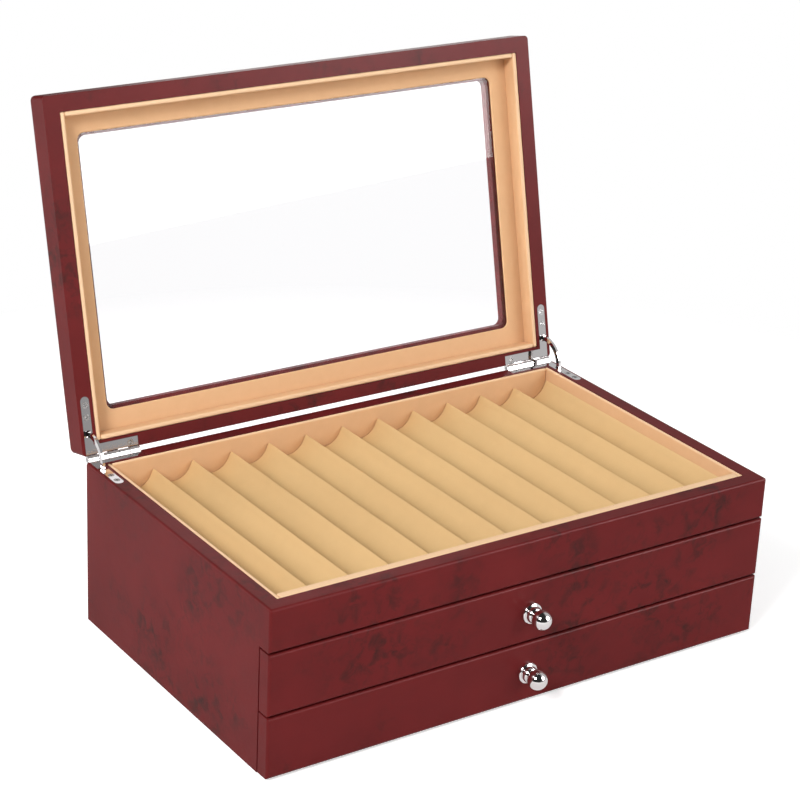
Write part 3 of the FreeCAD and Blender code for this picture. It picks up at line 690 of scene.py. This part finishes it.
def addMat():
    look = matLook
    low, high = shutBox("lid_window_mat", "lid")
    half = (high - low)[:2] / 2
    middle = (low + high) / 2
    inner = half - look["width"]
    window = roundedLoop(inner[0], inner[1], look["cornerRadius"], look["cornerSteps"])
    outward = roundedLoop(1, 1, 1 - look["slack"], look["cornerSteps"])  # unit normals of the window's edge
    isFlat = np.abs(window) < inner - look["cornerRadius"] - look["slack"]
    outer = np.where(isFlat, window, np.sign(window) * half)
    nose = look["nose"]
    thick = high[2] - low[2]
    angle = np.linspace(math.pi / 2, -math.pi / 2, look["noseSteps"])
    reach = nose * (1 - np.cos(angle))
    lift = np.sin(angle) * thick / 2
    rings = [np.column_stack([outer, np.full(len(outer), thick / 2)])]
    rings += [np.column_stack([window + outward * r, np.full(len(window), z)]) for r, z in zip(reach, lift)]
    rings += [np.column_stack([outer, np.full(len(outer), -thick / 2)])]
    points = np.stack(rings, axis=0).transpose(1, 0, 2) + middle
    piece = addPiece("lid_window_mat_cloth", settle(points, "lid"), "suede", "lid", "lid_window_mat",
                     closedLength=True)
    sharpen(piece, look["sharpAbove"])


addMat()


# turned knob: a flange with a rolled edge, a collar that bulges by a quarter ellipse, a groove and a ball,
# spun round the bolt's axis
knobLook = {
    "flange": 6.5 * millimetre,
    "flangeThick": 2.6 * millimetre,
    "roll": 1.1 * millimetre,
    "footChamfer": 0.2 * millimetre,
    "shoulder": 5.1 * millimetre,
    "neck": 4.3 * millimetre,
    "grooveDeep": 0.7 * millimetre,
    "grooveWide": 0.5 * millimetre,
    "ball": 6.0 * millimetre,
    "ballOut": 10.5 * millimetre,
    "poleAngle": 0.03,  # the ball's tip is closed by a tiny flat
    "rollSteps": 8,
    "collarSteps": 12,
    "ballSteps": 26,
    "sides": 64,
    "sharpAbove": 35,  # degrees
}


def knobProfile():
    look = knobLook
    turn = np.linspace(0, math.pi / 2, look["rollSteps"])
    roll, flange, thick = look["roll"], look["flange"], look["flangeThick"]
    rolled = np.stack([flange - roll + roll * np.cos(turn), thick - roll + roll * np.sin(turn)], axis=-1)
    start = np.arcsin(look["neck"] / look["ball"])
    tilt = np.linspace(math.pi - start, look["poleAngle"], look["ballSteps"])
    ball = np.stack([look["ball"] * np.sin(tilt), look["ballOut"] + look["ball"] * np.cos(tilt)], axis=-1)
    shoulder, groove = look["shoulder"], look["neck"] - look["grooveDeep"]
    bulge = np.linspace(0, math.pi / 2, look["collarSteps"])
    rise = ball[0, 1] - look["grooveWide"] - thick
    waist = np.stack([groove + (shoulder - groove) * np.cos(bulge), thick + rise * np.sin(bulge)], axis=-1)
    chamfer = look["footChamfer"]
    foot = np.array([[flange - chamfer, 0], [flange, chamfer]])
    return np.concatenate([foot, rolled, waist, ball])


def addKnob(drawer):
    node = drawer + "_knob"
    low, high = (np.array(corner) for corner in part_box(node))
    profile = knobProfile()
    around = np.linspace(0, 2 * math.pi, knobLook["sides"], endpoint=False)
    points = np.empty((len(profile), len(around), 3))
    points[..., 0] = (low[0] + high[0]) / 2 + profile[:, :1] * np.cos(around)
    points[..., 1] = high[1] - profile[:, 1:]
    points[..., 2] = (low[2] + high[2]) / 2 + profile[:, :1] * np.sin(around)
    piece = addPiece(node + "_turned", points, "chrome", drawer, node)
    sharpen(piece, knobLook["sharpAbove"])


for drawer in ("upper_drawer", "lower_drawer"):
    addKnob(drawer)
print("mat and knobs done")


# floor and backdrop: the floor keeps the shadow, and what the camera sees of it,
# plainly or through glass, is lifted towards white
stageLook = {
    "floorColour": (0.86, 0.86, 0.86, 1.0),
    "floorLift": 0.5,
    "floorSize": 3.6,
    "fade": (0.30, 0.60),  # distances from the middle: the floor starts to turn white, and is white
    "fillStrength": 0.36,
    "mirrored": (0.03, 0.55),  # the room as metal and lacquer see it: dark, but pale to the right
    "paleFrom": (0.28, 0.50),  # sideways share of a direction at which the pale part starts and is full
}


def seenRays(tree, x, y):
    # 1 for what the camera sees plainly or through glass, 0 for light on its way to a matt surface
    path = newNode(tree, "ShaderNodeLightPath", x, y)
    camera, through = path.outputs["Is Camera Ray"], path.outputs["Is Transmission Ray"]
    seen = maths(tree, "MAXIMUM", camera, through, x + 200, y)
    direct = maths(tree, "LESS_THAN", path.outputs["Diffuse Depth"], 0.5, x + 200, y - 200)
    return maths(tree, "MULTIPLY", seen, direct, x + 400, y), path.outputs["Is Glossy Ray"]


def addFloor():
    half = stageLook["floorSize"] / 2
    mesh = bpy.data.meshes.new("floor")
    corners = [(-half, -half, 0), (half, -half, 0), (half, half, 0), (-half, half, 0)]
    mesh.from_pydata(corners, [], [(0, 1, 2, 3)])
    floor = bpy.data.objects.new("floor", mesh)
    scene.collection.objects.link(floor)
    material = bpy.data.materials.new("paleFloor")
    material.use_nodes = True
    tree = material.node_tree
    tree.nodes.clear()
    matt = newNode(tree, "ShaderNodeBsdfDiffuse", 0, 200)
    matt.inputs["Color"].default_value = stageLook["floorColour"]
    glow = newNode(tree, "ShaderNodeEmission", 0, 0)
    seen = seenRays(tree, -900, 0)[0]
    lift = maths(tree, "MULTIPLY", seen, stageLook["floorLift"], -200, 0)
    tree.links.new(lift, glow.inputs["Strength"])
    near = newNode(tree, "ShaderNodeAddShader", 250, 100)
    tree.links.new(matt.outputs["BSDF"], near.inputs[0])
    tree.links.new(glow.outputs["Emission"], near.inputs[1])
    place = newNode(tree, "ShaderNodeTexCoord", -900, -400).outputs["Object"]
    distance = newNode(tree, "ShaderNodeVectorMath", -700, -400, operation="LENGTH")
    tree.links.new(place, distance.inputs[0])
    fade = newNode(tree, "ShaderNodeMapRange", -500, -400)
    setInputs(fade, From_Min=stageLook["fade"][0], From_Max=stageLook["fade"][1])
    tree.links.new(distance.outputs["Value"], fade.inputs["Value"])
    white = newNode(tree, "ShaderNodeEmission", 250, -150)
    whole = newNode(tree, "ShaderNodeMixShader", 450, 0)
    tree.links.new(maths(tree, "MULTIPLY", seen, fade.outputs["Result"], -200, -300), whole.inputs["Fac"])
    tree.links.new(near.outputs["Shader"], whole.inputs[1])
    tree.links.new(white.outputs["Emission"], whole.inputs[2])
    output = newNode(tree, "ShaderNodeOutputMaterial", 650, 0)
    tree.links.new(whole.outputs["Shader"], output.inputs["Surface"])
    mesh.materials.append(material)


def setWorld():
    world = bpy.data.worlds.new("studio")
    scene.world = world
    world.use_nodes = True
    tree = world.node_tree
    background = tree.nodes["Background"]
    background.inputs["Color"].default_value = (1.0, 1.0, 1.0, 1.0)
    seen, glossy = seenRays(tree, -1000, 0)
    room = newNode(tree, "ShaderNodeMix", -400, -150)
    room.inputs["A"].default_value = stageLook["fillStrength"]
    toward = newNode(tree, "ShaderNodeTexCoord", -1700, -400).outputs["Generated"]
    parts = newNode(tree, "ShaderNodeSeparateXYZ", -1400, -400)
    tree.links.new(toward, parts.inputs["Vector"])
    pale = newNode(tree, "ShaderNodeMapRange", -800, -400)
    setInputs(pale, From_Min=stageLook["paleFrom"][0], From_Max=stageLook["paleFrom"][1],
              To_Min=stageLook["mirrored"][0], To_Max=stageLook["mirrored"][1])
    tree.links.new(parts.outputs["X"], pale.inputs["Value"])
    tree.links.new(pale.outputs["Result"], room.inputs["B"])
    tree.links.new(glossy, room.inputs["Factor"])
    strength = newNode(tree, "ShaderNodeMix", -200, 0)
    strength.inputs["B"].default_value = 1.0
    tree.links.new(seen, strength.inputs["Factor"])
    tree.links.new(room.outputs["Result"], strength.inputs["A"])
    tree.links.new(strength.outputs["Result"], background.inputs["Strength"])


# square lamps: place and side in metres, power in watts; all of them point at lampAim
lampAim = (0, 0, 0.1)
lamps = {
    "keyLamp": {"place": (-1.5, -0.75, 1.35), "size": 0.6, "power": 35.0},
    "frontLamp": {"place": (1.2, -1.5, 0.95), "size": 1.2, "power": 19.0},
    "sheenLamp": {"place": (-1.3, 1.5, 0.55), "size": 0.8, "power": 10.0},
    "edgeLamp": {"place": (1.0, 1.7, 0.40), "size": 0.6, "power": 2.0},
    "lidLamp": {"place": (0.93, -1.00, 0.73), "size": 0.5, "power": 15.0, "matt": False},  # only sheen
}


def addLamp(name, look):
    data = bpy.data.lights.new(name, "AREA")
    data.shape = "SQUARE"
    data.size = look["size"]
    data.energy = look["power"]
    lamp = bpy.data.objects.new(name, data)
    scene.collection.objects.link(lamp)
    lamp.visible_diffuse = look.get("matt", True)
    aim = Vector(lampAim) - Vector(look["place"])
    turn = aim.to_track_quat("-Z", "Y").to_matrix().to_4x4()
    lamp.matrix_world = Matrix.Translation(look["place"]) @ turn


# camera at the photograph's angle: azimuth from straight ahead, elevation above the table,
# and a slight roll, in degrees
cameraLook = {
    "place": (-0.7402, -1.0293, 0.6824),
    "azimuth": 34.865,
    "elevation": 22.836,
    "roll": 2.703,
    "lens": 105.81,
    "sensor": 36.0,
}


def addCamera():
    look = cameraLook
    azimuth, elevation = math.radians(look["azimuth"]), math.radians(look["elevation"])
    ahead = Vector((math.sin(azimuth) * math.cos(elevation), math.cos(azimuth) * math.cos(elevation),
                    -math.sin(elevation)))
    level = ahead.to_track_quat("-Z", "Y").to_matrix().to_4x4()
    data = bpy.data.cameras.new("camera")
    data.lens = look["lens"]
    data.sensor_width = look["sensor"]
    camera = bpy.data.objects.new("camera", data)
    scene.collection.objects.link(camera)
    tilt = Matrix.Rotation(math.radians(look["roll"]), 4, "Z")
    camera.matrix_world = Matrix.Translation(look["place"]) @ level @ tilt
    scene.camera = camera


addFloor()
setWorld()
for name, look in lamps.items():
    addLamp(name, look)
addCamera()
print("stage, lamps and camera done")
